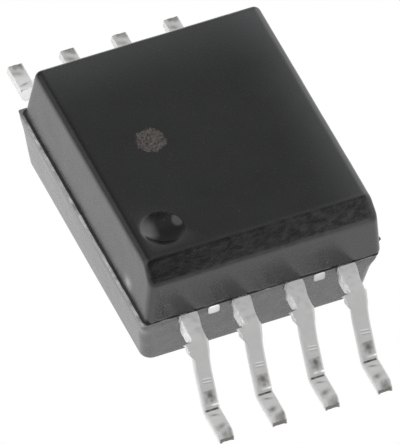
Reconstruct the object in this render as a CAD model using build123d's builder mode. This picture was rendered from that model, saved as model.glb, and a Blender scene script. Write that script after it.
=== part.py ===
from build123d import *
import os
from math import atan2, degrees

# Eight-lead stretched small-outline package with an optically coupled pair of circuits inside.
# Millimetres. X runs along the rows of leads, Y across the package, Z up.
# The origin is the middle of the lead pattern on the plane that the feet stand on.
# Leads 1 to 4 are the front row (-Y) from left to right, leads 5 to 8 the back row from right to left.

# Leads, outside the moulding
lead_pitch = 1.27
leads_per_row = 4
lead_span = 11.6
lead_width = 0.35
lead_thickness = 0.24
foot_length = 0.77
shoulder_reach = 0.77
leg_bow = 0.10
leg_bow_radius = 1.5
bend_inside_radius = 0.06

# What the shear left of the bar that joined the leads in the strip
bar_stub_start = 0.05
bar_stub_length = 0.36
bar_stub_left = 0.11
bar_stub_right = 0.02

# Moulding: two drafted halves that meet level with the upper face of the leads
parting_height = 1.675
overall_height = 3.18
standoff = 0.21
upper_width = 5.69
upper_length = 6.71
upper_draft = 6.1
lower_width = 5.70
lower_length = 6.81
lower_draft = 8.1
mismatch_x = 0.095
mismatch_y = 0.035
front_chamfer = 0.42
chamfer_lower_radius = 0.35
upper_corner_radius = 0.17
top_edge_radius = 0.21
lower_corner_radius = 0.25
lower_edge_radius = 0.08

# Round dish beside pin 1
dish_diameter = 0.98
dish_depth = 0.165
dish_from_left = 0.895
dish_from_front = 1.29

# Lead frame, inside the moulding
finger_depth = 0.95
finger_pad_width = 0.55
finger_pad_length = 0.60
finger_pad_corner = 0.08
finger_hole_diameter = 0.20
finger_hole_inset = 0.16
tie_bar_width = 0.28
tie_bar_shift = 0.05
tie_bar_proud = 0.03
step_depth = 0.45
step_run = 0.45
step_landing = 0.20
input_paddle_drop = 0.45
output_paddle_rise = 0.80
paddle_margin = 0.16
paddle_corner_radius = 0.15

# Circuits and the light emitter
die_bond_thickness = 0.02
die_bond_margin = 0.04
input_die_width = 1.60
input_die_length = 1.20
input_die_thickness = 0.25
input_die_edge_gap = 0.28
output_die_width = 1.70
output_die_length = 1.60
output_die_thickness = 0.25
output_die_margin = 0.25
emitter_size = 0.30
emitter_thickness = 0.20
emitter_edge_gap = 0.70

# Clear silicone between the emitter and the detector
guide_foot_radius = 0.62
guide_waist_radius = 0.46
guide_top_radius = 0.56
guide_clearance = 0.20

# Bond wires
wire_diameter = 0.03
wire_corner = 0.05
wire_sides = 6
loop_height = 0.16
finger_landing = 0.20
die_pad_inset = 0.12
ground_landing = 0.12

# Places that follow from the sizes above
front = -1
back = 1
leads_x = [(column - (leads_per_row - 1) / 2) * lead_pitch for column in range(leads_per_row)]
ground_x = leads_x[-1]
tie_bars_x = [leads_x[0] + lead_pitch / 2 + tie_bar_shift, ground_x - lead_pitch / 2 + tie_bar_shift]
paddle_left = tie_bars_x[0] - tie_bar_width / 2 - paddle_margin
paddle_right = ground_x + lead_width / 2 + paddle_margin
frame_underside = parting_height - lead_thickness
finger_end = lower_length / 2 - finger_depth
step_outer = lower_length / 2 - step_depth
step_inner = step_outer - step_run
paddle_edge = step_inner - step_landing
input_paddle_top = parting_height - input_paddle_drop
input_face = input_paddle_top + die_bond_thickness + input_die_thickness
input_die_y = -paddle_edge + input_die_edge_gap + input_die_length / 2
emitter_face = input_paddle_top + die_bond_thickness + emitter_thickness
emitter_y = input_die_y + input_die_length / 2 + guide_clearance + guide_foot_radius
input_paddle_length = paddle_edge + emitter_y + emitter_edge_gap
output_paddle_top = parting_height + output_paddle_rise
output_paddle_underside = frame_underside + output_paddle_rise
output_face = output_paddle_underside - die_bond_thickness - output_die_thickness
output_pads_y = emitter_y + guide_top_radius + guide_clearance
output_die_y = output_pads_y + die_pad_inset - output_die_length / 2
output_paddle_length = paddle_edge - output_die_y + output_die_length / 2 + output_die_margin

# Upper face of a lead from the shoulder to the toe, as distances from the middle and heights
shoulder = (lower_length / 2 + shoulder_reach, parting_height)
heel = (lead_span / 2 - foot_length, lead_thickness)
toe = (lead_span / 2, lead_thickness)
leg_middle = ((shoulder[0] + heel[0]) / 2 - leg_bow, (shoulder[1] + heel[1]) / 2)
leg_points = [shoulder, leg_middle, heel, toe]
leg_bends = [bend_inside_radius, leg_bow_radius, bend_inside_radius]

pieces = {}


def keep(label, part):
    """Label a finished piece, write it and remember it for the cavity of the moulding."""
    part.label = label
    export_step(part, f"parts/{label}.step")
    pieces[label] = part


def strip_outline(points, inside_radii):
    """Corners and corner radii of a strip of the sheet's thickness whose upper face runs along the points."""
    upper = [Vector(y, z) for y, z in points]
    runs = [(end - start).normalized() for start, end in zip(upper, upper[1:])]
    normals = [Vector(run.Y, -run.X) for run in runs]
    lower = [upper[0] + normals[0] * lead_thickness]
    upper_radii = [0]
    lower_radii = [0]
    for corner, before, after, radius in zip(upper[1:], normals, normals[1:], inside_radii):
        lower.append(corner + (before + after) * (lead_thickness / (1 + before.dot(after))))
        bends_down = before.cross(after).Z < 0
        upper_radii.append(radius + lead_thickness if bends_down else radius)
        lower_radii.append(radius if bends_down else radius + lead_thickness)
    lower.append(upper[-1] + normals[-1] * lead_thickness)
    return upper + lower[::-1], upper_radii + [0, 0] + lower_radii[::-1]


def strip_section(left_x, row, points, inside_radii, only_stub=False):
    """Sketch of a bent strip, seen along the rows, or of its short stretch where the bar was cut off."""
    corners, radii = strip_outline(points, inside_radii)
    run = leg_middle[0] - shoulder[0]
    drop = leg_middle[1] - shoulder[1]
    along = Vector(run, drop).normalized()
    into = Vector(along.Y, -along.X) * (lead_thickness / 2)
    stub = Vector(*shoulder) + along * (bar_stub_start + bar_stub_length / 2) + into
    with BuildSketch(Plane.YZ.offset(left_x)) as section:
        with BuildLine():
            FilletPolyline(*[(row * corner.X, corner.Y) for corner in corners], radius=radii, close=True)
        make_face()
        if only_stub:
            with Locations((row * stub.X, stub.Y)):
                Rectangle(
                    bar_stub_length,
                    lead_thickness,
                    rotation=row * degrees(atan2(drop, run)),
                    mode=Mode.INTERSECT,
                )
    return section.sketch


def outer_lead(x, row, start_points, start_bends):
    """One lead bent to the gull-wing form, with the stubs that the shear left beside its upper leg."""
    points = start_points + leg_points
    bends = start_bends + leg_bends
    left = x - lead_width / 2
    with BuildPart() as lead:
        extrude(strip_section(left, row, points, bends), amount=lead_width)
        stub = strip_section(left - bar_stub_left, row, points, bends, only_stub=True)
        extrude(stub, amount=bar_stub_left + lead_width + bar_stub_right)
    return lead.part


def bond_wire(start, end, loop_z):
    """Wire that leaves one pad square to it, runs level at the loop's height and lands on the other."""
    over_start = Vector(start[0], start[1], loop_z)
    over_end = Vector(end[0], end[1], loop_z)
    rise = (over_start - Vector(*start)).normalized() * wire_corner
    ahead = (over_end - over_start).normalized() * wire_corner
    with BuildPart() as wire:
        with BuildLine() as path:
            Polyline(start, over_start - rise, over_start + ahead, over_end - ahead, over_end - rise, end)
        with BuildSketch(Plane(origin=path.line @ 0, z_dir=path.line % 0)):
            RegularPolygon(wire_diameter / 2, wire_sides)
        sweep(transition=Transition.RIGHT)
    return wire.part


os.makedirs("parts", exist_ok=True)

# Leads that end in a finger with a wire pad, numbered round the package from the front left
signal_leads = [(column + 1, leads_x[column], front) for column in range(leads_per_row - 1)]
signal_leads += [(2 * leads_per_row - column, leads_x[column], back) for column in range(leads_per_row - 1)]
for number, x, row in signal_leads:
    pad_y = row * (finger_end + finger_pad_length / 2)
    hole_y = row * (finger_end + finger_pad_length - finger_hole_inset)
    with BuildPart() as lead:
        add(outer_lead(x, row, [(finger_end, parting_height)], []))
        with BuildSketch(Plane.XY.offset(frame_underside)):
            with Locations((x, pad_y)):
                RectangleRounded(finger_pad_width, finger_pad_length, finger_pad_corner)
        extrude(amount=lead_thickness)
        with Locations((x, hole_y, parting_height)):
            Hole(finger_hole_diameter / 2, depth=lead_thickness)
    keep(f"lead_{number}", lead.part)

# Ground leads, each stamped in one piece with a paddle and the two tie bars that held it in the strip
paddles = [
    (f"lead_{leads_per_row}_with_input_paddle", front, input_paddle_top, input_paddle_length),
    (f"lead_{leads_per_row + 1}_with_output_paddle", back, output_paddle_top, output_paddle_length),
]
step_bends = [bend_inside_radius, bend_inside_radius]
cut_face = (lower_length / 2 + tie_bar_proud, parting_height)
for label, row, paddle_top, paddle_length in paddles:
    step = [(paddle_edge, paddle_top), (step_inner, paddle_top), (step_outer, parting_height)]
    paddle_y = row * (paddle_edge - paddle_length / 2)
    with BuildPart() as lead:
        add(outer_lead(ground_x, row, step, step_bends))
        for bar_x in tie_bars_x:
            tie_bar = strip_section(bar_x - tie_bar_width / 2, row, step + [cut_face], step_bends)
            extrude(tie_bar, amount=tie_bar_width)
        with BuildSketch(Plane.XY.offset(paddle_top - lead_thickness)):
            with Locations(((paddle_left + paddle_right) / 2, paddle_y)):
                RectangleRounded(paddle_right - paddle_left, paddle_length, paddle_corner_radius)
        extrude(amount=lead_thickness)
    keep(label, lead.part)

# Dies on their glue: both input pieces face up from the lower paddle, the output circuit faces down
up = 1
down = -1
dies = [
    ("input_circuit", input_die_width, input_die_length, input_die_thickness, input_die_y, up),
    ("light_emitter", emitter_size, emitter_size, emitter_thickness, emitter_y, up),
    ("output_circuit", output_die_width, output_die_length, output_die_thickness, output_die_y, down),
]
for name, width, length, thickness, die_y, facing in dies:
    paddle_face = input_paddle_top if facing == up else output_paddle_underside
    with BuildPart() as bond:
        with BuildSketch(Plane.XY.offset(paddle_face)):
            with Locations((0, die_y)):
                Rectangle(width + 2 * die_bond_margin, length + 2 * die_bond_margin)
        extrude(amount=facing * die_bond_thickness)
    keep(f"{name}_bond", bond.part)
    with BuildPart() as die:
        with BuildSketch(Plane.XY.offset(paddle_face + facing * die_bond_thickness)):
            with Locations((0, die_y)):
                Rectangle(width, length)
        extrude(amount=facing * thickness)
    keep(f"{name}_die", die.part)

# Bond wires from the outer edge of each circuit to the fingers and to the paddle beside it
wired_dies = [
    ("input", front, input_die_width, input_die_length, input_die_y, input_face, input_paddle_top),
    ("output", back, output_die_width, output_die_length, output_die_y, output_face, output_paddle_underside),
]
for side, row, width, length, die_y, face, paddle_face in wired_dies:
    facing = up if face > paddle_face else down
    finger_face = parting_height if facing == up else frame_underside
    pad_y = die_y + row * (length / 2 - die_pad_inset)
    pad_row_width = width - 2 * die_pad_inset
    pads_x = [(column / (leads_per_row - 1) - 0.5) * pad_row_width for column in range(leads_per_row)]
    for column in range(leads_per_row - 1):
        pad = (pads_x[column], pad_y, face)
        landing = (leads_x[column], row * (finger_end + finger_landing), finger_face)
        number = column + 1 if row == front else 2 * leads_per_row - column
        keep(f"wire_to_lead_{number}", bond_wire(pad, landing, finger_face + facing * loop_height))
    pad = (pads_x[-1], pad_y, face)
    landing = (width / 2 + die_bond_margin + ground_landing, pad_y, paddle_face)
    keep(f"wire_to_{side}_paddle", bond_wire(pad, landing, face + facing * loop_height))

# Bond wire from the inner edge of the input circuit to the top of the emitter
pad = (0, input_die_y + input_die_length / 2 - die_pad_inset, input_face)
landing = (0, emitter_y, emitter_face)
keep("wire_to_emitter", bond_wire(pad, landing, max(input_face, emitter_face) + loop_height))

# Clear silicone column that joins the emitter to the detector and parts the two circuits
guide_middle = (input_paddle_top + output_face) / 2
with BuildPart() as light_guide:
    with BuildSketch(Plane.XZ.offset(-emitter_y)):
        with BuildLine():
            Line((0, input_paddle_top), (guide_foot_radius, input_paddle_top))
            ThreePointArc(
                (guide_foot_radius, input_paddle_top),
                (guide_waist_radius, guide_middle),
                (guide_top_radius, output_face),
            )
            Line((guide_top_radius, output_face), (0, output_face))
            Line((0, output_face), (0, input_paddle_top))
        make_face()
    revolve(axis=Axis((0, emitter_y, 0), (0, 0, 1)))
    for label in ("light_emitter_bond", "light_emitter_die", "wire_to_emitter"):
        add(pieces[label], mode=Mode.SUBTRACT)
keep("light_guide", light_guide.part)

# The two halves of the mould, each with its own draft and rounding
with BuildPart() as upper_half:
    with BuildSketch(Plane.XY.offset(parting_height)):
        with Locations((0, -mismatch_y)):
            Rectangle(upper_width, upper_length)
    extrude(amount=overall_height - parting_height, taper=upper_draft)
    top_face = upper_half.faces().sort_by(Axis.Z)[-1]
    front_face = upper_half.faces().sort_by(Axis.Y)[0]
    chamfer_top = top_face.edges().sort_by(Axis.Y)[0] @ 0.5 + Vector(0, front_chamfer, 0)
    chamfer_plane = Plane(chamfer_top, z_dir=top_face.normal_at() + front_face.normal_at())
    split(bisect_by=chamfer_plane, keep=Keep.BOTTOM)
    parting_edges = upper_half.faces().sort_by(Axis.Z)[0].edges()
    chamfer_low_edge = (upper_half.edges().filter_by(Axis.X) - parting_edges).sort_by(Axis.Y)[0]
    fillet(chamfer_low_edge, chamfer_lower_radius)
    fillet(upper_half.edges().filter_by(Plane.XY, reverse=True), upper_corner_radius)
    fillet(upper_half.faces().sort_by(Axis.Z)[-1].edges(), top_edge_radius)

with BuildPart() as lower_half:
    with BuildSketch(Plane((0, 0, parting_height), x_dir=(1, 0, 0), z_dir=(0, 0, -1))):
        with Locations((-mismatch_x, 0)):
            Rectangle(lower_width, lower_length)
    extrude(amount=parting_height - standoff, taper=lower_draft)
    corner_edges = lower_half.edges().filter_by(Plane.XY, reverse=True)
    fillet(corner_edges, lower_corner_radius)
    fillet(lower_half.faces().sort_by(Axis.Z)[0].edges(), lower_edge_radius)

# Black moulding round everything above
dish_radius = (dish_diameter**2 / 4 + dish_depth**2) / (2 * dish_depth)
dish_x = dish_from_left - upper_width / 2
dish_y = dish_from_front - upper_length / 2 - mismatch_y
with BuildPart() as package_body:
    add(upper_half.part)
    add(lower_half.part)
    with Locations((dish_x, dish_y, overall_height - dish_depth + dish_radius)):
        Sphere(dish_radius, mode=Mode.SUBTRACT)
    for piece in pieces.values():
        add(piece, mode=Mode.SUBTRACT)
package_body.part.label = "package_body"
export_step(package_body.part, "parts/package_body.step")
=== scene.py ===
import bpy
import bmesh
from math import ceil, cos, exp, log, pi, radians, sin, sqrt, tan
from mathutils import Matrix, Vector, noise


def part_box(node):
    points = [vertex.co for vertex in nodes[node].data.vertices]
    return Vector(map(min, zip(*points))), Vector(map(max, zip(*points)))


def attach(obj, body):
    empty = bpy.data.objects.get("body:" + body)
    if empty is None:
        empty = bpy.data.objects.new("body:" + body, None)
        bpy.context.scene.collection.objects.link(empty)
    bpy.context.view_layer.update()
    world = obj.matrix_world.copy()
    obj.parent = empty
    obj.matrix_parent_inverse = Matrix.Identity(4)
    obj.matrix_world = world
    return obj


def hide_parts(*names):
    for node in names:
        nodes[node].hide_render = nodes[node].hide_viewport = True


# Looks of the eight-lead optocoupler chip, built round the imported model.
# X runs along the rows of leads, Y from the front row to the back row, Z up from the floor.
# Lengths are in millimetres here, and MM turns them into Blender's metres.
MM = 0.001

# Edges that turn by more than this are shaded sharp
sharp_turn = radians(38)

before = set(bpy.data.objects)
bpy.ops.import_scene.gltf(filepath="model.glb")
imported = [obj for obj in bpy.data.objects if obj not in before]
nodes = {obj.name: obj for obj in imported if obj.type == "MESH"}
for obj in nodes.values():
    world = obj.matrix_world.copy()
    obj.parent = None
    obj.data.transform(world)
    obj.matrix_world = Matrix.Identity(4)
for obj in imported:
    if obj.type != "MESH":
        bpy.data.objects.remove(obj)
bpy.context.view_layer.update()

# Camera, fitted to the photograph. Angles are in degrees.
photo_width = 400
photo_height = 444
origin_pixel = (197.97, 230.74)
camera_azimuth = -27.23
camera_elevation = 48.96
camera_roll = 4.18
camera_distance = 333.3
pixels_per_mm = 45.16
sensor_width = 36.0

# Moulding. Its halves meet at the parting height, a little shifted against each other.
body_low, body_high = (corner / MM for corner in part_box("package_body"))
parting_height = 1.675
upper_size = (5.69, 6.71)
upper_centre = (0.0, -0.035)
upper_draft = radians(5.0)
upper_corner_radius = 0.17
least_corner_radius = 0.012
top_edge_radius = 0.21
front_cut = 0.42
front_cut_lower_radius = 0.25
lower_size = (5.70, 6.81)
lower_centre = (-0.095, 0.0)
lower_corner_radius = 0.25
lower_edge_radius = 0.08
seam_corner_radius = 0.06
seam_corner_depth = 0.5
# Angle of the lower wall from upright, in degrees, at drops below the parting height
lower_wall_angles = (
    (0.0, 13.5), (0.045, 13.5), (0.07, 2.5), (0.14, 4.0), (0.22, 8.1), (1.15, 8.1), (1.5, 10.0)
)
# Shares of the way over the ledge, from the lower half's edge to the upper half's foot
ledge_shares = (0.48, 0.62)
nib_reach = 0.15

# Pin-one dish and round laser mark in the top
dish_centre = Vector((-1.95, -2.10))
dish_diameter = 0.98
dish_depth = 0.165
dish_rim_softness = 0.014
laser_mark_centre = (-1.165, 0.33)
laser_mark_diameter = 0.70

# How finely the moulding is divided
arc_step = radians(6)
corner_steps = 8
side_steps = 90
dish_steps = 96
rim_ring_step = 0.006
rim_rings_outside = 7
rim_rings_inside = 8
bowl_rings = 16
least_ring_gap = 0.0015
inner_ring_inset = 0.02
upper_ring_rises = (0.015, 0.03, 0.06, 0.1, 0.15, 0.2, 0.25, 0.3, 0.36, 0.5, 0.65, 0.8, 0.95)
lower_ring_drops = (
    1.36, 1.25, 1.0, 0.8, 0.6, 0.5, 0.4, 0.32, 0.26, 0.21,
    0.17, 0.14, 0.11, 0.085, 0.065, 0.05, 0.03, 0.012, 0.0,
)

# Places of the moulding's marks
near_top = body_high.z - 0.3
left_wall_from = -2.5
lower_left_wall_from = -2.7
top_left_edge_from = -2.48
scar_place = (-2.33, 1.95)
front_dust_stretches = ((-2.55, 0.35), (0.0, 0.35), (2.5, 0.25))

# Linear grey levels of the moulding, each a pair that the surface wanders between
# Painted sheen along the top's right and back edges
painted_sheen_greys = (0.055, 0.066)
# Painted light of the side walls and the ledge
painted_wall_light_greys = (0.034, 0.055)
# Painted light of the lower half, which stands in for the floor's reflection, and lighter still at
# its left back
lower_painted_light_greys = (0.052, 0.092)
lower_left_back_painted_light_greys = (0.13, 0.19)
# Front cut: painted shade darkens its left end
cut_left_painted_shade_greys = (0.001, 0.006)
cut_right_greys = (0.008, 0.026)
cold_tint = (-0.03, -0.02)

# Leads
leads_per_row = 4
lead_pitch = 1.27
lead_span = 11.6
lead_width = 0.35
lead_thickness = 0.24
half_width = lead_width / 2
half_thickness = lead_thickness / 2
lead_edge_radius = 0.028
side_margin = 0.03
bar_end_rounding = 0.04
foot_length = 0.77
shoulder_reach = 0.77
leg_bow = 0.10
leg_bow_radius = 1.5
bend_radius = 0.06 + half_thickness
wall_y = lower_size[1] / 2
cut_inside = 0.12
row_front = -1
row_back = 1

# Sheared sides of a lead: the stub of the strip's bar, and how far the left side leans
stub_length = 0.36
stub_left = 0.11
stub_right = 0.02
left_lean = 0.06

# Marks of the forming tool on a lead's upper face, as distances from the heel up the leg
upper_face_from = 0.02
tool_line_places = (0.745, 0.815)
tool_line_slant = 0.1
tool_line_width = 0.012
line_half_width = 0.11
press_start = 0.20
press_length = 0.36
ridge_place = 0.20
crease_place = 0.02
second_crease_place = -0.17
toe_thinning = 0.5

# How finely a lead is divided: its length, its edges, and its top, right, lower and left faces
lead_step = 0.011
bend_step = radians(4)
edge_steps = 4
face_steps = (18, 4, 6, 8)
toe_face_shrinks = (0.85, 0.5)

# Studio
floor_size = 400
ceiling_level = 0.15


# Shape helpers
def rounded_path(corners, radii, step_angle):
    """Points along straight runs whose inner corners are rounded to the radii."""
    points = [Vector(corners[0])]
    for before, corner, after, radius in zip(corners, corners[1:], corners[2:], radii):
        corner = Vector(corner)
        arrive = (corner - Vector(before)).normalized()
        leave = (Vector(after) - corner).normalized()
        turn = abs(arrive.angle_signed(leave))
        start = corner - arrive * radius * tan(turn / 2)
        side = 1 if arrive.x * leave.y - arrive.y * leave.x > 0 else -1
        inward = Vector((-arrive.y, arrive.x)) * side
        centre = start + inward * radius
        steps = max(2, ceil(turn / step_angle))
        for step in range(steps + 1):
            swept = turn * step / steps
            points.append(centre - inward * radius * cos(swept) + arrive * radius * sin(swept))
    points.append(Vector(corners[-1]))
    return points


def distances_along(path):
    """Distance of each point of a path from its start, measured along it."""
    distances = [0.0]
    for start, end in zip(path, path[1:]):
        distances.append(distances[-1] + (end - start).length)
    return distances


def resampled(path, step):
    """The same path in even steps of about the given length."""
    distances = distances_along(path)
    count = ceil(distances[-1] / step)
    result = []
    index = 0
    for number in range(count + 1):
        distance = distances[-1] * number / count
        while index < len(path) - 2 and distances[index + 1] < distance:
            index += 1
        share = (distance - distances[index]) / (distances[index + 1] - distances[index])
        result.append(path[index].lerp(path[index + 1], share))
    return result


def clamped(value, highest=1.0):
    """Value kept between 0 and the highest."""
    return min(highest, max(0.0, value))


def smooth_step(value, start, end):
    """0 up to the start, 1 from the end on, smooth between. The start may be the greater one."""
    share = clamped((value - start) / (end - start))
    return share * share * (3 - 2 * share)


def bump_at(value, middle, width):
    """Smooth bump of height 1 around the middle."""
    return exp(-(((value - middle) / width) ** 2))


def wobble(x, y, z, scale):
    """Smooth noise between about -1 and 1, with lumps scale millimetres across.

    On a lead, one coordinate is a multiple of its number, so that no two leads are alike.
    """
    return noise.noise(Vector((x, y, z)) / scale)


def outward(angle):
    """Flat unit vector at an angle from X."""
    return Vector((cos(angle), sin(angle)))


def join_rings(bm, ring, next_ring):
    """Faces of a band between two closed rings of as many vertices."""
    faces = []
    for index in range(len(ring)):
        after = (index + 1) % len(ring)
        faces.append(bm.faces.new((ring[index], ring[after], next_ring[after], next_ring[index])))
    return faces


def ring_edges(bm, ring):
    """Edges of a closed ring of vertices."""
    return [bm.edges.get(ends) for ends in zip(ring, ring[1:] + ring[:1])]


def new_piece(name, bm, materials, replaced, marks):
    """Make a mesh in millimetres, with marks on its vertices, into a piece that replaces a node."""
    bm.verts.index_update()
    amounts = {mark: [0.0] * len(bm.verts) for mark in marks}
    for mark, marked in marks.items():
        for vertex, amount in marked.items():
            amounts[mark][vertex.index] = amount
    bmesh.ops.recalc_face_normals(bm, faces=bm.faces)
    bmesh.ops.scale(bm, vec=(MM, MM, MM), verts=bm.verts)
    mesh = bpy.data.meshes.new(name)
    bm.to_mesh(mesh)
    bm.free()
    mesh.shade_smooth()
    mesh.set_sharp_from_angle(angle=sharp_turn)
    for material in materials:
        mesh.materials.append(material)
    for mark, values in amounts.items():
        mesh.attributes.new(mark, "FLOAT", "POINT").data.foreach_set("value", values)
    piece = bpy.data.objects.new(name, mesh)
    bpy.context.scene.collection.objects.link(piece)
    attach(piece, "root")
    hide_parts(replaced)


# Material helpers
def new_material(name):
    """New material with its node tree and its shader."""
    material = bpy.data.materials.new(name)
    material.use_nodes = True
    tree = material.node_tree
    return material, tree, tree.nodes["Principled BSDF"]


def add_node(tree, kind, inputs=None, **settings):
    """New node with its settings and the values of its inputs."""
    node = tree.nodes.new(kind)
    for key, value in settings.items():
        setattr(node, key, value)
    for key, value in (inputs or {}).items():
        if isinstance(value, bpy.types.NodeSocket):
            tree.links.new(value, node.inputs[key])
        else:
            node.inputs[key].default_value = value
    return node


def add_axes(tree, space):
    """X, Y and Z of the place that is shaded, in a space."""
    place = add_node(tree, "ShaderNodeTexCoord").outputs[space]
    return add_node(tree, "ShaderNodeSeparateXYZ", {"Vector": place}).outputs


def add_mark(tree, mark):
    """Amount of a mark that the mesh carries."""
    return add_node(tree, "ShaderNodeAttribute", attribute_name=mark).outputs["Fac"]


def add_noise(tree, size, detail=3.0, roughness=0.55, stretch=(1, 1, 1)):
    """Noise in object space whose lumps are size millimetres across."""
    place = add_node(tree, "ShaderNodeTexCoord").outputs["Object"]
    mapping = add_node(tree, "ShaderNodeMapping", {"Vector": place, "Scale": stretch})
    inputs = {"Vector": mapping.outputs[0], "Scale": 1 / (size * MM)}
    inputs |= {"Detail": detail, "Roughness": roughness}
    return add_node(tree, "ShaderNodeTexNoise", inputs).outputs["Fac"]


def add_range(tree, value, start, end, low=0.0, high=1.0):
    """Value that goes from low at the start to high at the end, and no further."""
    inputs = {"Value": value, "From Min": start, "From Max": end, "To Min": low, "To Max": high}
    return add_node(tree, "ShaderNodeMapRange", inputs).outputs["Result"]


def add_slope(tree, place, start, end, high=1.0):
    """Value that goes from 0 to high between two places on an axis, in millimetres."""
    return add_range(tree, place, start * MM, end * MM, 0.0, high)


def add_spread(tree, value, low=0.0, high=1.0):
    """Noise spread over a whole range. Before, it hardly leaves 0.3 to 0.7."""
    return add_range(tree, value, 0.3, 0.7, low, high)


def add_math(tree, operation, *values):
    """Result of a sum on values or numbers."""
    return add_node(tree, "ShaderNodeMath", dict(enumerate(values)), operation=operation).outputs[0]


def add_mix(tree, factor, first, second):
    """Colour between two colours."""
    inputs = {"Factor": factor, "A": first, "B": second}
    return add_node(tree, "ShaderNodeMix", inputs, data_type="RGBA").outputs[2]


def add_greys(tree, factor, levels, tints=(0.0, 0.0)):
    """Grey between two levels, each with its tint."""
    first, second = (grey(level, tint) for level, tint in zip(levels, tints))
    return add_mix(tree, factor, first, second)


def add_bump(tree, strength, depth, height, **inputs):
    """Normal of a bump whose depth is in millimetres."""
    inputs = {"Strength": strength, "Distance": depth * MM, "Height": height, **inputs}
    return add_node(tree, "ShaderNodeBump", inputs).outputs["Normal"]


def grey(level, tint=0.0):
    """Linear colour of a grey level, warm with a tint above 0 and cold below."""
    return (level * (1 + tint), level, level * (1 - tint), 1.0)


# Materials
def moulding_material(name, base, roughness, texture):
    """Black filled epoxy: fine grain, soft clouds, pale filler, and the marks of the mesh, with
    painted sheen, light and shade.
    """
    material, tree, shader = new_material(name)
    axes = add_axes(tree, "Object")
    cloud = add_noise(tree, 0.9, detail=4.0)
    grain = add_noise(tree, 0.05, detail=4.0, roughness=0.65)
    scales = add_noise(tree, 0.20, roughness=0.6, stretch=(0.9, 1.5, 1.0))
    streaks = add_noise(tree, 0.07, roughness=0.7, stretch=(0.35, 0.35, 1.6))
    on_top = add_slope(tree, axes["Z"], body_high.z - 0.03, body_high.z - 0.01)
    band = add_mark(tree, "band")
    painted_shade = add_mark(tree, "painted_shade")

    shade = add_top_shade(tree, axes, cloud, base, on_top)
    # Painted light: side walls, ledge and the dish's near rim lighter than the top
    painted_wall_light_colour = add_greys(tree, add_spread(tree, cloud), painted_wall_light_greys)
    shade = add_mix(tree, add_mark(tree, "painted_wall_light"), shade, painted_wall_light_colour)
    shade = add_lower_half(tree, axes, streaks, shade)
    filler = add_range(tree, add_noise(tree, 0.028, detail=1.0), 0.70, 0.80, 0.0, 0.5)
    shade = add_mix(tree, filler, shade, grey(0.08))
    shade = add_mix(tree, band, shade, add_cut_shade(tree, axes, scales))
    # Pale dust, with painted highlights along the ledge's left side and above the cut
    streaky = add_range(tree, streaks, 0.34, 0.60, 0.55, 1.0)
    dust_and_highlight = add_math(tree, "MULTIPLY", streaky, add_mark(tree, "dust_and_highlight"))
    shade = add_mix(tree, dust_and_highlight, shade, grey(0.60, 0.01))
    # Painted shade at the parting line and on the top's left edge, which also loses its gloss
    shade = add_mix(tree, painted_shade, shade, grey(0.002))
    laser_mark = add_math(tree, "MULTIPLY", add_laser_mark(tree, axes), on_top)
    shade = add_mix(tree, laser_mark, shade, add_burnt_shade(tree))
    tree.links.new(shade, shader.inputs["Base Color"])

    shader.inputs["IOR"].default_value = 1.75
    dull = add_math(tree, "MAXIMUM", add_math(tree, "MULTIPLY", band, 0.35), painted_shade)
    tree.links.new(add_range(tree, dull, 0.0, 1.0, 0.5, 0.0), shader.inputs["Specular IOR Level"])
    gloss = add_spread(tree, grain, roughness - 0.04, roughness + 0.04)
    gloss = add_math(tree, "MULTIPLY_ADD", laser_mark, 0.25, gloss)
    tree.links.new(gloss, shader.inputs["Roughness"])
    fine = add_bump(tree, texture, 0.004, grain)
    tree.links.new(add_bump(tree, band, 0.010, scales, Normal=fine), shader.inputs["Normal"])
    return material


def add_top_shade(tree, axes, cloud, base, on_top):
    """Dark epoxy, with a painted sheen that lightens the top along its right and back edges."""
    # Painted sheen: lighter towards the top's right and back edges
    right_edge = add_math(tree, "POWER", add_slope(tree, axes["X"], 1.0, 2.75), 3.0)
    back_edge = add_math(tree, "POWER", add_slope(tree, axes["Y"], 1.2, 3.2, 0.8), 2.0)
    painted_lightening = add_math(tree, "MULTIPLY", add_math(tree, "ADD", right_edge, back_edge), on_top)
    dark = add_greys(tree, cloud, (0.75 * base, 1.25 * base), cold_tint)
    return add_mix(tree, painted_lightening, dark, add_greys(tree, cloud, painted_sheen_greys, cold_tint))


def add_lower_half(tree, axes, streaks, shade):
    """The given shade, and below the parting height a lighter one, painted light for the floor's
    reflection, with streaks and pits.
    """
    drawn = add_spread(tree, add_noise(tree, 0.25, stretch=(1.0, 0.25, 1.5)))
    on_left = add_slope(tree, axes["X"], -2.4, -2.7)
    # Painted light: lighter still towards the back on the left
    left_back = add_math(tree, "MULTIPLY", add_slope(tree, axes["Y"], -1.0, 3.4), on_left)
    pale = add_greys(tree, drawn, lower_painted_light_greys)
    pale = add_mix(tree, left_back, pale, add_greys(tree, drawn, lower_left_back_painted_light_greys))
    below = add_slope(tree, axes["Z"], parting_height - 0.02, parting_height - 0.10)
    shade = add_mix(tree, below, shade, pale)
    pits = add_math(tree, "MULTIPLY", below, add_range(tree, streaks, 0.66, 0.72, 0.0, 0.5))
    return add_mix(tree, pits, shade, grey(0.01))


def add_cut_shade(tree, axes, scales):
    """Scaly skin of the front cut, with painted shade that darkens its left end."""
    scaly = add_range(tree, scales, 0.35, 0.65)
    left = add_greys(tree, scaly, cut_left_painted_shade_greys)
    right = add_greys(tree, scaly, cut_right_greys)
    # Painted shade: darker towards the left end
    return add_mix(tree, add_slope(tree, axes["X"], body_low.x, body_high.x), left, right)


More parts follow.
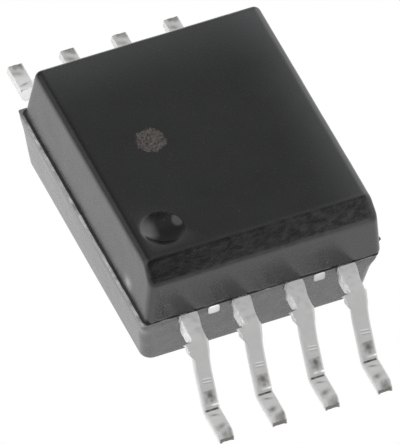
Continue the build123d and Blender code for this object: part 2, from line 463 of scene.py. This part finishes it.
def add_laser_mark(tree, axes):
    """1 inside the round laser mark, 0 outside it, with a ragged edge."""
    flat = add_node(tree, "ShaderNodeCombineXYZ", {"X": axes["X"], "Y": axes["Y"]}).outputs[0]
    centre = (laser_mark_centre[0] * MM, laser_mark_centre[1] * MM, 0.0)
    away = add_node(tree, "ShaderNodeVectorMath", {0: flat, 1: centre}, operation="DISTANCE")
    radius = laser_mark_diameter / 2 * MM
    ragged = add_spread(tree, add_noise(tree, 0.08, detail=2.0), 0.85 * radius, 1.1 * radius)
    return add_slope(tree, add_math(tree, "SUBTRACT", ragged, away.outputs["Value"]), -0.02, 0.02)


def add_burnt_shade(tree):
    """Brown shade of the laser mark, with burnt specks."""
    burnt = add_range(tree, add_noise(tree, 0.05, detail=2.0, roughness=0.8), 0.42, 0.58)
    return add_mix(tree, burnt, (0.014, 0.012, 0.011, 1.0), (0.085, 0.073, 0.066, 1.0))


def tin_material(name):
    """Matte tin over copper: soft clouds, fine grain, and the marks of the mesh, with wear, painted
    light and painted shade.
    """
    material, tree, shader = new_material(name)
    cloud = add_noise(tree, 0.12)
    grain = add_noise(tree, 0.03)
    wear_and_painted_shade = add_mark(tree, "wear_and_painted_shade")
    painted_light = add_mark(tree, "painted_light")
    clean = add_greys(tree, cloud, (0.37, 0.43), (0.003, 0.003))
    worn = add_mix(tree, cloud, (0.125, 0.12, 0.11, 1.0), (0.19, 0.185, 0.175, 1.0))
    shade = add_mix(tree, wear_and_painted_shade, clean, worn)
    # Above 1 the tin goes black: painted shade in the heel crease, and the darkest worn spots
    shade = add_mix(tree, add_range(tree, wear_and_painted_shade, 1.0, 2.0), shade, grey(0.03))
    # Painted light: near white and less metallic where the mesh marks it
    tree.links.new(add_mix(tree, painted_light, shade, grey(0.94)), shader.inputs["Base Color"])
    tree.links.new(add_range(tree, painted_light, 0.0, 1.0, 0.2, 0.05), shader.inputs["Metallic"])
    tree.links.new(add_spread(tree, grain, 0.50, 0.64), shader.inputs["Roughness"])
    tree.links.new(add_bump(tree, 0.5, 0.004, grain), shader.inputs["Normal"])
    return material


def plain_material(name, low, high, size, roughness, metallic=0.0, alpha=1.0):
    """Finish of a hidden piece: two near colours in soft patches, with uneven gloss."""
    material, tree, shader = new_material(name)
    shader.inputs["Metallic"].default_value = metallic
    shader.inputs["Alpha"].default_value = alpha
    shade = add_mix(tree, add_noise(tree, size), (*low, 1.0), (*high, 1.0))
    tree.links.new(shade, shader.inputs["Base Color"])
    gloss = add_spread(tree, add_noise(tree, size / 5), 0.8 * roughness, 1.2 * roughness)
    tree.links.new(gloss, shader.inputs["Roughness"])
    return material


# Moulding
def upper_profiles():
    """Side and front profiles of the upper half, from its foot to the top, as (inset, height)."""
    top = body_high.z
    lean = (top - parting_height) * tan(upper_draft)
    foot = (0.0, parting_height)
    side = [foot, (lean, top), (upper_size[0] / 4, top)]
    cut_low = (lean - front_cut * sin(upper_draft), top - front_cut * cos(upper_draft))
    front = [foot, cut_low, (lean + front_cut, top), (upper_size[1] / 4, top)]
    side_path = rounded_path(side, [top_edge_radius], arc_step)
    front_path = rounded_path(front, [front_cut_lower_radius, top_edge_radius], arc_step)
    return side_path, front_path


def inset_at(path, height):
    """Inset of a wall's profile at a height. The profile's last run lies level across the top."""
    rising = path[:-1]
    for start, end in zip(rising, rising[1:]):
        if start.y <= height <= end.y:
            return start.lerp(end, (height - start.y) / (end.y - start.y)).x
    return rising[-1].x


def outline_ring(bm, centre, size, side_inset, front_inset, corner, height, shift=None):
    """Ring of vertices round a rectangle with rounded corners, the same count for every ring."""
    left = centre[0] - size[0] / 2 + side_inset + corner
    right = centre[0] + size[0] / 2 - side_inset - corner
    front = centre[1] - size[1] / 2 + front_inset + corner
    back = centre[1] + size[1] / 2 - side_inset - corner
    middles = [(right, front), (right, back), (left, back), (left, front)]
    points = []
    for number, middle in enumerate(middles):
        for step in range(corner_steps + 1):
            angle = (number - 1 + step / corner_steps) * pi / 2
            points.append((Vector(middle) + outward(angle) * corner, angle))
        begin, angle = points[-1]
        goal = Vector(middles[(number + 1) % 4]) + outward(angle) * corner
        for step in range(1, side_steps):
            points.append((begin.lerp(goal, step / side_steps), angle))
    ring = []
    for place, angle in points:
        offset = shift(place.x, place.y, height) if shift else 0.0
        place = place + outward(angle) * offset
        ring.append(bm.verts.new((place.x, place.y, height)))
    return ring


def lower_inset(drop):
    """Inset of the lower wall at a drop below the parting height, summed up from its angles."""
    steps = 40
    slopes = (tan(radians(lower_wall_angle(drop * (step + 0.5) / steps))) for step in range(steps))
    return sum(slopes) * drop / steps


def lower_wall_angle(drop):
    """Angle of the lower wall from upright, in degrees, at a drop below the parting height."""
    for (start, start_angle), (end, end_angle) in zip(lower_wall_angles, lower_wall_angles[1:]):
        if drop <= end:
            break
    return start_angle + (end_angle - start_angle) * (drop - start) / (end - start)


def lower_half_rings(bm):
    """Rings of the lower half, from the underside up to the parting height."""
    bottom = body_low.z
    foot = lower_inset(parting_height - bottom)
    wall_start = (lower_inset(lower_ring_drops[0]), parting_height - lower_ring_drops[0])
    corners = [(foot + 1.0, bottom), (foot, bottom), wall_start]
    edge = rounded_path(corners, [lower_edge_radius], arc_step)
    outline = (lower_centre, lower_size)
    rings = []
    for inset, height in edge[1:-1]:
        rings.append(outline_ring(bm, *outline, inset, inset, lower_corner_radius, height))
    for drop in lower_ring_drops:
        inset = lower_inset(drop)
        sharpening = smooth_step(drop, seam_corner_depth, 0.0)
        corner = lower_corner_radius + (seam_corner_radius - lower_corner_radius) * sharpening
        height = parting_height - drop
        rings.append(outline_ring(bm, *outline, inset, inset, corner, height, lower_shift))
    return rings


def upper_half_rings(bm):
    """Rings of the upper half, from the parting height to the top, and one that lies in the top."""
    top = body_high.z
    side_path, front_path = upper_profiles()
    heights = {point.y for point in side_path + front_path}
    heights |= {parting_height + rise for rise in upper_ring_rises}
    heights = sorted(heights)
    heights = [h for h, before in zip(heights, [0.0] + heights) if h - before > least_ring_gap]
    outline = (upper_centre, upper_size)
    rings = []
    for height in heights[:-1] + [top]:
        side = inset_at(side_path, height)
        front = inset_at(front_path, height)
        rounded_off = max(0.0, side - (height - parting_height) * tan(upper_draft))
        corner = max(upper_corner_radius - rounded_off, least_corner_radius)
        rings.append(outline_ring(bm, *outline, side, front, corner, height, upper_shift))
    inner = (side + inner_ring_inset, front + inner_ring_inset, least_corner_radius)
    rings.append(outline_ring(bm, *outline, *inner, top))
    return rings


def ripple(x, y, z):
    """Slight unevenness of a moulded wall."""
    return 0.004 * wobble(x, y, z, 0.5) + 0.0015 * wobble(x, y, z, 0.13)


def lower_shift(x, y, z):
    """Unevenness of the lower half, with a wavy lip of flash along its upper edge."""
    lip = 0.006 * wobble(x, y, 3.0, 0.55) + 0.004 * wobble(x, y, 7.0, 0.09)
    return ripple(x, y, z) + lip * smooth_step(z, parting_height - 0.12, parting_height)


def upper_shift(x, y, z):
    """Unevenness of the upper half, drawn in at its foot except for a nib of flash on the right."""
    flash = 0.016 * wobble(x, y, 1.0, 0.12) - 0.010
    if x > upper_size[0] / 2 - 0.1:
        flash += nib_reach * smooth_step(y, -2.80, -2.92) * smooth_step(y, -3.12, -3.0)
        flash += 0.03 * bump_at(y, -2.6, 0.25)
    return ripple(x, y, z) + flash * smooth_step(z, parting_height + 0.06, parting_height)


def add_dish(bm):
    """Rings of the round dish, with a softly rounded rim and polished faces inside it."""
    rim_radius = dish_diameter / 2
    sphere_radius = (rim_radius**2 + dish_depth**2) / (2 * dish_depth)
    rim_steps = range(rim_rings_outside, -rim_rings_inside - 1, -1)
    radii = [rim_radius + step * rim_ring_step for step in rim_steps]
    radii += [radii[-1] * (1 - step / bowl_rings) for step in range(1, bowl_rings)]
    depths = [sqrt(sphere_radius**2 - radius**2) - (sphere_radius - dish_depth) for radius in radii]
    softened = [dish_rim_softness * log(1 + exp(depth / dish_rim_softness)) for depth in depths]
    softened[0] = 0.0
    directions = [outward(2 * pi * step / dish_steps) for step in range(dish_steps)]
    rings = []
    for radius, depth in zip(radii, softened):
        places = [dish_centre + direction * radius for direction in directions]
        rings.append([bm.verts.new((*place, body_high.z - depth)) for place in places])
    faces = [bm.faces.new(rings[-1])]
    for ring, next_ring in zip(rings, rings[1:]):
        faces += join_rings(bm, ring, next_ring)
    for face in faces:
        if (face.calc_center_median().xy - dish_centre).length < rim_radius:
            face.material_index = 1
    return rings


def band_amount(vertex):
    """Scaly skin of the front cut, which starts lower down towards the right."""
    later = 0.1 * smooth_step(vertex.co.x, -2.0, 2.8)
    facing_front = smooth_step(-vertex.normal.y, 0.2 + later, 0.45 + 2 * later)
    return facing_front * smooth_step(vertex.normal.z, 0.3, 0.5)


def painted_wall_light_amount(vertex):
    """Painted light: side walls lighter than the top, and some of it on the dish's near rim."""
    amount = smooth_step(abs(vertex.normal.x), 0.7, 0.9)
    if vertex.co.z > near_top:
        from_dish = vertex.co.xy - dish_centre
        near_rim = bump_at(from_dish.length, 0.48, 0.08) * smooth_step(-from_dish.y, 0.1, 0.35)
        amount = max(amount, 0.6 * near_rim)
    return amount


def dust_and_highlight_amount(vertex):
    """Pale dust and painted highlight: dust at the parting height, a painted highlight above the
    cut, and a scar on the left wall.
    """
    x, y, z = vertex.co
    amount = 0.05 * bump_at(z, parting_height, 0.04)
    if x < left_wall_from:
        amount += 0.6 * bump_at(y, scar_place[0], 0.15) * bump_at(z, scar_place[1], 0.13)
    if z > near_top:
        amount += 0.014 * bump_at(-vertex.normal.y, 0.3, 0.16)
    return amount


def painted_shade_amount(vertex):
    """Painted shade: a broken dark line and a soft shade at the parting height, and the top's left
    edge.
    """
    x, y, z = vertex.co
    broken = clamped(0.45 + 0.9 * wobble(x, y, 4.0, 0.3))
    line = bump_at(z, parting_height + 0.008, 0.014) * (0.22 if x < lower_left_wall_from else 0.45)
    amount = broken * line + 0.10 * bump_at(z, parting_height, 0.06)
    if z > near_top and x < top_left_edge_from:
        left_edge = smooth_step(-vertex.normal.x, 0.1, 0.4) * smooth_step(vertex.normal.z, 0.3, 0.6)
        amount = max(amount, 0.45 * left_edge)
    return amount


def ledge_dust_and_highlight(x, y):
    """Pale dust and painted highlight on the ledge: a painted highlight along the left side, dust in
    three stretches of the front.
    """
    along_left = smooth_step(-x, 2.84, 2.90) * smooth_step(y, 3.3, 3.0)
    along_left *= 0.95 + 0.6 * wobble(x, y, 11.0, 0.22)
    in_front = smooth_step(-y, 3.2, 3.3) * (0.6 + 1.4 * wobble(x, y, 9.0, 0.15))
    in_front *= min(1.0, sum(bump_at(x, middle, half) for middle, half in front_dust_stretches))
    at_back = 0.22 * smooth_step(y, 3.0, 3.3) * smooth_step(-x, 2.3, 2.8)
    return min(1.0, max(0.05, 0.75 * along_left, 0.6 * in_front, at_back))


def body_marks(bm, pale_ledge_rings, painted_shade_ledge):
    """Marks of the moulding's vertices, with dust, a painted highlight and a line of painted shade
    on the ledge.
    """
    bm.normal_update()
    kinds = {
        "band": band_amount,
        "dust_and_highlight": dust_and_highlight_amount,
        "painted_shade": painted_shade_amount,
        "painted_wall_light": painted_wall_light_amount,
    }
    marks = {mark: {v: amount_of(v) for v in bm.verts} for mark, amount_of in kinds.items()}
    # The ledge rings take the painted wall light as well
    for vertex in pale_ledge_rings:
        dust_and_highlight = ledge_dust_and_highlight(vertex.co.x, vertex.co.y)
        marks["dust_and_highlight"][vertex] = dust_and_highlight
        marks["painted_shade"][vertex] *= 1 - min(1.0, 2 * dust_and_highlight)
        marks["painted_wall_light"][vertex] = 1.0
    # A broken line of painted shade on the inner ledge ring
    for vertex in painted_shade_ledge:
        broken = wobble(vertex.co.x, vertex.co.y, 5.0, 0.25)
        marks["dust_and_highlight"][vertex] = 0.0
        marks["painted_shade"][vertex] = max(0.0, 0.35 + 0.4 * broken)
        marks["painted_wall_light"][vertex] = 1.0
    return marks


def build_body():
    """Moulding in one skin: lower half, ledge, upper half, and a top with the dish in it."""
    bm = bmesh.new()
    lower = lower_half_rings(bm)
    upper = upper_half_rings(bm)
    ledge = [
        [bm.verts.new(outer.co.lerp(inner.co, share)) for outer, inner in zip(lower[-1], upper[0])]
        for share in ledge_shares
    ]
    rings = lower + ledge + upper
    for ring, next_ring in zip(rings, rings[1:]):
        join_rings(bm, ring, next_ring)
    bm.faces.new(rings[0])
    dish = add_dish(bm)
    top_edges = ring_edges(bm, rings[-1]) + ring_edges(bm, dish[0])
    bmesh.ops.triangle_fill(bm, edges=top_edges, use_beauty=True)

    marks = body_marks(bm, lower[-1] + ledge[0], ledge[1])
    moulding = moulding_material("moulding", 0.014, 0.26, 0.3)
    dish_polish = moulding_material("dish_polish", 0.005, 0.14, 0.1)
    materials = [moulding, dish_polish]
    new_piece("moulded_body", bm, materials, "package_body", marks)


# Leads
def lead_centre_line():
    """Middle of a lead from just inside the moulding to the toe, as (distance out, height)."""
    shoulder = Vector((wall_y + shoulder_reach, parting_height))
    heel = Vector((lead_span / 2 - foot_length, lead_thickness))
    upper_corners = [
        Vector((wall_y - cut_inside, parting_height)),
        shoulder,
        (shoulder + heel) / 2 - Vector((leg_bow, 0)),
        heel,
        Vector((lead_span / 2, lead_thickness)),
    ]
    runs = [(end - start).normalized() for start, end in zip(upper_corners, upper_corners[1:])]
    downs = [Vector((run.y, -run.x)) for run in runs]
    corners = []
    for corner, before, after in zip(upper_corners, downs[:1] + downs, downs + downs[-1:]):
        corners.append(corner + (before + after) * (half_thickness / (1 + before.dot(after))))
    path = rounded_path(corners, [bend_radius, leg_bow_radius, bend_radius], bend_step)
    return resampled(path, lead_step)


def lead_section():
    """Rounded section of a lead, round from its upper left edge, as (across, up)."""
    across = half_width - lead_edge_radius
    up = half_thickness - lead_edge_radius
    middles = [(-across, up), (across, up), (across, -up), (-across, -up)]
    points = []
    for number, middle in enumerate(middles):
        for step in range(edge_steps + 1):
            angle = pi - (number + step / edge_steps) * pi / 2
            points.append(Vector(middle) + outward(angle) * lead_edge_radius)
        begin = points[-1]
        goal = Vector(middles[(number + 1) % 4]) + outward(angle) * lead_edge_radius
        for step in range(1, face_steps[number]):
            points.append(begin.lerp(goal, step / face_steps[number]))
    return points


def hidden_half_of_lead(node, x, row):
    """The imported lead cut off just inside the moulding's wall, with its proud bar ends rounded."""
    bm = bmesh.new()
    bm.from_mesh(nodes[node].data)
    bmesh.ops.scale(bm, vec=(1 / MM,) * 3, verts=bm.verts)
    bmesh.ops.remove_doubles(bm, verts=bm.verts, dist=1e-5)
    near = {v for v in bm.verts if abs(v.co.x - x) < lead_width}
    faces = [f for f in bm.faces if near.issuperset(f.verts)]
    edges = {e for f in faces for e in f.edges}
    bmesh.ops.bisect_plane(
        bm,
        geom=[*near, *edges, *faces],
        plane_co=(x, row * (wall_y - cut_inside), 0),
        plane_no=(0, row, 0),
        clear_outer=True,
    )
    bmesh.ops.holes_fill(bm, edges=[e for e in bm.edges if e.is_boundary], sides=0)
    proud_edges = [e for e in bm.edges if any(row * v.co.y > wall_y + 0.02 for v in e.verts)]
    bmesh.ops.bevel(
        bm,
        geom=proud_edges,
        offset=bar_end_rounding,
        segments=4,
        profile=0.5,
        affect="EDGES",
        clamp_overlap=True,
    )
    return bm


def side_shift(outside, u, w, number):
    """How far a point of the section moves outwards where the side was sheared."""
    shoulder_end = shoulder_reach - 0.10
    up_stub = (outside - shoulder_end) / (stub_length + 0.06)
    stub = smooth_step(up_stub, 0.0, 0.10) * smooth_step(up_stub, 1.05, 0.55)
    stub *= stub_left + 0.06 * smooth_step(up_stub, 0.4, 0.0)
    if u > half_width - side_margin:
        root = 0.10 * smooth_step(outside, 0.6, 0.0) * smooth_step(outside, -0.06, 0.0)
        return root + stub_right * stub / stub_left
    if u < side_margin - half_width:
        lean = left_lean * smooth_step(outside, 0.05, 0.3)
        lean *= smooth_step(outside, shoulder_end, shoulder_end - 0.12)
        rough = 0.014 * wobble(outside, w, number * 3.1, 0.05)
        rough *= smooth_step(outside, 0.0, 0.1) * smooth_step(outside, 1.3, 1.1)
        root = -0.03 * bump_at(outside, 0.0, 0.12)
        return -(root + stub + lean * (0.5 - w / lead_thickness) + rough)
    return 0.0


def upper_relief(from_toe, u):
    """Height of the marks that the forming tool left on the upper face."""
    up_leg = from_toe - foot_length
    lines = 0.006 * tool_lines(up_leg, u)
    lines *= smooth_step(abs(u), line_half_width + 0.03, line_half_width - 0.01)
    ridge = 0.010 * bump_at(up_leg, ridge_place, 0.03)
    crease = 0.014 * bump_at(up_leg, crease_place, 0.07)
    second_crease = 0.006 * bump_at(up_leg, second_crease_place, 0.018)
    press_end = press_start + press_length
    press = 0.010 * smooth_step(up_leg, press_start + 0.02, press_start + 0.08)
    press *= smooth_step(up_leg, press_end + 0.04, press_end - 0.04) * press_width(u)
    return lines + ridge - crease - second_crease - press


def tool_lines(up_leg, u, below=0.0, width=tool_line_width):
    """The slanting tool lines across the leg, or bands a little below them."""
    straightened = up_leg + tool_line_slant * u
    return sum(bump_at(straightened, place - below, width) for place in tool_line_places)


def on_lines(u):
    """1 along the middle of the tool lines, 0 past their ends."""
    return smooth_step(abs(u - 0.01), line_half_width + 0.01, line_half_width - 0.03)


def press_width(u):
    """1 inside the width of the press mark, 0 outside it."""
    return smooth_step(abs(u), 0.15, 0.10)


def toe_relief(u, w, number):
    """Sheared end: burrs at the lower corners and a ragged lower edge."""
    burr = 0.030 * smooth_step(abs(u), 0.10, 0.17) * smooth_step(-w, 0.0, half_thickness)
    return burr + 0.010 * wobble(u, w, number * 5.3, 0.05)


def sheared_side_painted_light(outside, u, w, number, row):
    """Painted light on the bare metal of the sheared sides: patchy on the shoulder, lighter low down
    on the leg.
    """
    if u > half_width - side_margin:
        return 0.3 * smooth_step(outside, 0.4, 0.8)
    if u > side_margin - half_width:
        return 0.0
    if row == row_back:
        amount = 0.8
    else:
        on_leg = smooth_step(outside, 0.80, 1.0)
        on_shoulder = 0.75 + 0.35 * wobble(outside, w, number * 2.9, 0.08)
        low_down = smooth_step(-w, -half_thickness, half_thickness)
        amount = (1 - on_leg) * on_shoulder + on_leg * (0.30 + 0.6 * low_down)
    if w > half_thickness - 0.01:
        amount *= 0.3 * smooth_step(outside, 0.7, 0.5)
    return amount


def painted_lightening_amount(from_toe, outside, row):
    """Painted light: lighter tin near the moulding and on the foot, and more of it in the back row.
    """
    on_foot = smooth_step(from_toe, foot_length + 0.1, foot_length - 0.1)
    amount = 0.2 * smooth_step(outside, shoulder_reach, 0.45) + 0.20 * on_foot
    if row == row_back:
        amount += 0.2 * on_foot * smooth_step(from_toe, 0.1, 0.5) + 0.75 * (1 - on_foot)
    return amount


def painted_tool_highlight(from_toe, u, w, number):
    """Painted highlights on the tool lines, and on the ridge above the crease at the heel."""
    if w <= upper_face_from:
        return 0.0
    up_leg = from_toe - foot_length
    ridge = bump_at(up_leg, ridge_place, 0.022)
    ridge *= 0.35 + 0.7 * wobble(u, 0.0, number * 1.9, 0.10) + 3.5 * u
    return clamped(0.35 * tool_lines(up_leg, u) * on_lines(u) + ridge)


def wear_and_painted_shade_amount(from_toe, u, w, number):
    """Where the tin is darker from wear and painted shade, up to 2, which is black."""
    if w <= upper_face_from:
        return 0.9 if from_toe < 0.004 else 0.1
    up_leg = from_toe - foot_length
    amount = worn_press_mark(from_toe, u, number)
    # Painted shade in bands just below the tool lines
    amount += 0.45 * tool_lines(up_leg, u, below=0.03, width=0.014) * on_lines(u)
    amount += painted_crease_shade(up_leg, u, number)
    amount += foot_wear_and_painted_shade(from_toe, u, number)
    on_shoulder = 0.45 * smooth_step(from_toe, 2.35, 2.6)
    amount += on_shoulder * max(0.0, wobble(u, from_toe, number * 6.1, 0.11))
    return clamped(amount, 2.0)


def worn_press_mark(from_toe, u, number):
    """Patch that the press left on the leg, with a dark spot in it and a lesser one below."""
    up_patch = (from_toe - foot_length - press_start) / press_length
    patch = smooth_step(up_patch, 0.0, 0.5) * smooth_step(up_patch, 1.0, 0.9) * press_width(u)
    patch *= 0.45 + 0.5 * wobble(u, from_toe, number * 2.3, 0.09)
    spot = bump_at(up_patch, 0.64, 0.19) * bump_at(u, 0.01, 0.055)
    return patch + spot + 0.6 * bump_at(up_patch, 0.25, 0.12) * bump_at(u, 0.02, 0.04)


def painted_crease_shade(up_leg, u, number):
    """Painted shade: a black crease at the heel, which stops short of the lead's edges."""
    crease = 1.8 * smooth_step(up_leg, -0.035, -0.01) * smooth_step(up_leg, 0.11, 0.07)
    crease *= 0.85 + 0.5 * wobble(u, 1.0, number * 3.7, 0.1)
    return crease * (0.2 + 0.8 * smooth_step(0.17 - abs(u + 0.02), 0.0, 0.04))


def foot_wear_and_painted_shade(from_toe, u, number):
    """Painted shade in a second crease across the foot, a smudge on it, and the ragged dark toe."""
    along_crease = from_toe - foot_length + 0.2 * u
    crease = 0.8 * bump_at(along_crease, second_crease_place, 0.03) * bump_at(u, -0.03, 0.10)
    smudge_place = 0.30 + 0.08 * wobble(number * 1.3, 0.0, 0.0, 1.0)
    smudge = bump_at(from_toe - 0.3 * u, smudge_place, 0.075) * bump_at(u, -0.05, 0.13)
    smudge *= 0.7 + 0.5 * wobble(u, from_toe, number * 4.1, 0.15)
    ragged = 0.06 * wobble(u, number * 2.1, 0.0, 0.09) - 0.3 * max(0.0, u)
    toe = 0.75 * smooth_step(from_toe + ragged, 0.19, 0.05)
    toe *= 1 - 0.8 * smooth_step(-u, 0.04, 0.14)
    toe *= 1 + 0.4 * wobble(u, from_toe, number * 7.7, 0.08)
    return crease + smudge + toe


def build_lead(node, number, x, row, tin):
    """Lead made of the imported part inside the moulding, and a fine one with tool marks outside."""
    bm = hidden_half_of_lead(node, x, row)
    wear_and_painted_shade = {}
    # Painted light on the bar ends outside the moulding, stronger on the left half
    painted_light = {v: 0.75 if v.co.x < 0 else 0.4 for v in bm.verts if row * v.co.y > wall_y}
    path = lead_centre_line()
    distances = distances_along(path)
    section = lead_section()
    rings = []
    for index, point in enumerate(path):
        along = (path[min(index + 1, len(path) - 1)] - path[max(index - 1, 0)]).normalized()
        up = Vector((-along.y, along.x))
        from_toe = distances[-1] - distances[index]
        outside = distances[index] - cut_inside
        thinned = toe_thinning * smooth_step(from_toe, 0.13, 0.0) if row == row_front else 0.0
        painted_lightening = painted_lightening_amount(from_toe, outside, row)
        ring = []
        for section_u, w in section:
            u = section_u + side_shift(outside, section_u, w, number)
            on_upper_face = smooth_step(w, half_thickness - 0.06, half_thickness - 0.02)
            height = w - thinned * (w + half_thickness) + on_upper_face * upper_relief(from_toe, u)
            reach = toe_relief(u, w, number) if index == len(path) - 1 else 0.0
            place = point + up * height + along * reach
            vertex = bm.verts.new((x + u, row * place.x, max(place.y, 0.0)))
            ring.append(vertex)
            wear_and_painted_shade[vertex] = wear_and_painted_shade_amount(from_toe, u, w, number)
            sheared = sheared_side_painted_light(outside, section_u, w, number, row)
            unworn_painted_lightening = painted_lightening * (1 - min(1.0, wear_and_painted_shade[vertex]))
            # Painted light of the sheared sides, lighter places and tool highlights
            painted_light[vertex] = min(1.0, max(sheared, unworn_painted_lightening, painted_tool_highlight(from_toe, u, w, number)))
        rings.append(ring)
    for ring, next_ring in zip(rings, rings[1:]):
        join_rings(bm, ring, next_ring)
    bm.faces.new(rings[0])
    close_toe(bm, rings[-1], number, wear_and_painted_shade)
    new_piece(f"{node}_tinned", bm, [tin], node, {"wear_and_painted_shade": wear_and_painted_shade, "painted_light": painted_light})


def close_toe(bm, ring, number, wear_and_painted_shade):
    """Rough end face of the toe, in rings that shrink towards its middle."""
    centre = sum((v.co for v in ring), Vector()) / len(ring)
    for shrink in toe_face_shrinks:
        inner_ring = []
        for vertex in ring:
            place = centre + (vertex.co - centre) * shrink
            place.y += 0.012 * wobble(place.x, place.z, number * 1.7, 0.06)
            inner_ring.append(bm.verts.new(place))
            wear_and_painted_shade[inner_ring[-1]] = 1.0
        join_rings(bm, ring, inner_ring)
        ring = inner_ring
    bm.faces.new(ring)


def build_leads():
    """Leads 1 to 4 stand in front from left to right, and 5 to 8 at the back from right to left."""
    tin = tin_material("tin")
    for node in sorted(nodes):
        if node.startswith("lead_"):
            number = int(node.split("_")[1])
            row = row_front if number <= leads_per_row else row_back
            column = number - 1 if row == row_front else 2 * leads_per_row - number
            x = (column - (leads_per_row - 1) / 2) * lead_pitch
            build_lead(node, number, x, row, tin)


def dress_hidden_nodes():
    """Finishes of what the moulding hides."""
    silicon = plain_material("silicon", (0.10, 0.10, 0.13), (0.20, 0.19, 0.24), 0.15, 0.2)
    emitter = plain_material("emitter", (0.34, 0.11, 0.08), (0.46, 0.18, 0.13), 0.06, 0.25)
    glue = plain_material("die_bond", (0.42, 0.42, 0.40), (0.60, 0.60, 0.57), 0.08, 0.5, 0.6)
    gold = plain_material("gold", (0.80, 0.56, 0.20), (0.86, 0.66, 0.28), 0.05, 0.22, 1.0)
    silicone = plain_material(
        "silicone", (0.84, 0.85, 0.86), (0.90, 0.91, 0.92), 0.3, 0.15, alpha=0.35
    )
    finishes = {
        "input_circuit_die": (silicon, "silicon"),
        "output_circuit_die": (silicon, "silicon"),
        "light_emitter_die": (emitter, "emitter"),
        "input_circuit_bond": (glue, "die_bond"),
        "output_circuit_bond": (glue, "die_bond"),
        "light_emitter_bond": (glue, "die_bond"),
        "light_guide": (silicone, "clear_silicone"),
    }
    for node in nodes:
        if node.startswith("wire_to_"):
            finishes[node] = (gold, "gold_wire")
    for node, (material, slot) in finishes.items():
        nodes[node].data.materials.clear()
        nodes[node].data.materials.append(material)


# Studio
def build_stage():
    """White paper: lit like paper, but plain white to the camera and in polished faces."""
    bpy.ops.mesh.primitive_plane_add(size=floor_size * MM, location=(0, 0, 0))
    floor = bpy.context.object
    floor.name = "floor"
    material, tree, shader = new_material("paper")
    shader.inputs["Base Color"].default_value = grey(0.86)
    shader.inputs["Roughness"].default_value = 0.9
    shader.inputs["Specular IOR Level"].default_value = 0.0
    ray = add_node(tree, "ShaderNodeLightPath").outputs
    seen = add_math(tree, "MAXIMUM", ray["Is Camera Ray"], ray["Is Glossy Ray"])
    glow = add_node(tree, "ShaderNodeEmission", {"Color": grey(1.0), "Strength": 1.0})
    mix = add_node(tree, "ShaderNodeMixShader", {0: seen, 1: shader.outputs[0], 2: glow.outputs[0]})
    tree.links.new(mix.outputs[0], tree.nodes["Material Output"].inputs["Surface"])
    floor.data.materials.append(material)


def build_world():
    """Studio surroundings: a bright horizon, dim above and behind, and a soft glow on the right."""
    world = bpy.data.worlds.new("studio")
    bpy.context.scene.world = world
    world.use_nodes = True
    tree = world.node_tree
    axes = add_axes(tree, "Generated")
    horizon = add_range(tree, axes["Z"], sin(radians(29)), sin(radians(41)), 1.0, 0.0)
    not_behind = add_range(tree, axes["Y"], 0.50, 0.68, 1.0, 0.0)
    horizon = add_math(tree, "MULTIPLY", horizon, not_behind)
    glow = add_range(tree, axes["X"], 0.33, 0.72, 0.0, 1.1)
    for full, faded in ((-0.05, -0.45), (0.62, 0.80)):
        glow = add_math(tree, "MULTIPLY", glow, add_range(tree, axes["Y"], full, faded, 1.0, 0.3))
    level = add_math(tree, "MAXIMUM", add_math(tree, "MAXIMUM", horizon, glow), ceiling_level)
    tree.links.new(level, tree.nodes["Background"].inputs["Color"])


def direction_to(azimuth, elevation):
    """Unit vector away from the part, from angles in degrees. The front is at azimuth 0."""
    azimuth, elevation = radians(azimuth), radians(elevation)
    return Vector((sin(azimuth) * cos(elevation), -cos(azimuth) * cos(elevation), sin(elevation)))


def build_lamp(name, azimuth, elevation, distance, size, radiance, mirrored=True):
    """Round soft lamp that faces the part, with a given radiance, mirrored in its gloss or not."""
    light = bpy.data.lights.new(name, "AREA")
    light.shape = "DISK"
    light.size = size * MM
    area = pi * (size * MM / 2) ** 2
    light.energy = pi * radiance * area
    lamp = bpy.data.objects.new(name, light)
    lamp.visible_glossy = mirrored
    direction = direction_to(azimuth, elevation)
    lamp.location = direction * distance * MM
    lamp.rotation_mode = "QUATERNION"
    lamp.rotation_quaternion = direction.to_track_quat("Z", "Y")
    bpy.context.scene.collection.objects.link(lamp)


def build_camera():
    """Camera where the photograph was taken from."""
    back = direction_to(camera_azimuth, camera_elevation)
    level_right = direction_to(camera_azimuth + 90, 0)
    level_up = back.cross(level_right)
    roll = radians(camera_roll)
    right = level_right * cos(roll) + level_up * sin(roll)
    up = level_up * cos(roll) - level_right * sin(roll)
    camera = bpy.data.objects.new("camera", bpy.data.cameras.new("camera"))
    turned = Matrix((right, up, back)).transposed().to_4x4()
    camera.matrix_world = Matrix.Translation(back * camera_distance * MM) @ turned
    long_side = max(photo_width, photo_height)
    camera.data.sensor_width = sensor_width
    camera.data.lens = pixels_per_mm * camera_distance / long_side * sensor_width
    camera.data.shift_x = (photo_width / 2 - origin_pixel[0]) / long_side
    camera.data.shift_y = (origin_pixel[1] - photo_height / 2) / long_side
    camera.data.clip_start = 0.01
    camera.data.clip_end = 2.0
    bpy.context.scene.collection.objects.link(camera)
    bpy.context.scene.camera = camera


build_body()
build_leads()
dress_hidden_nodes()
build_stage()
build_world()
build_lamp("side_box", -106, 38, 300, 310, 0.75)
build_lamp("fill", -20, 75, 300, 150, 12.0, mirrored=False)
build_camera()
bpy.context.scene.view_settings.view_transform = "Standard"
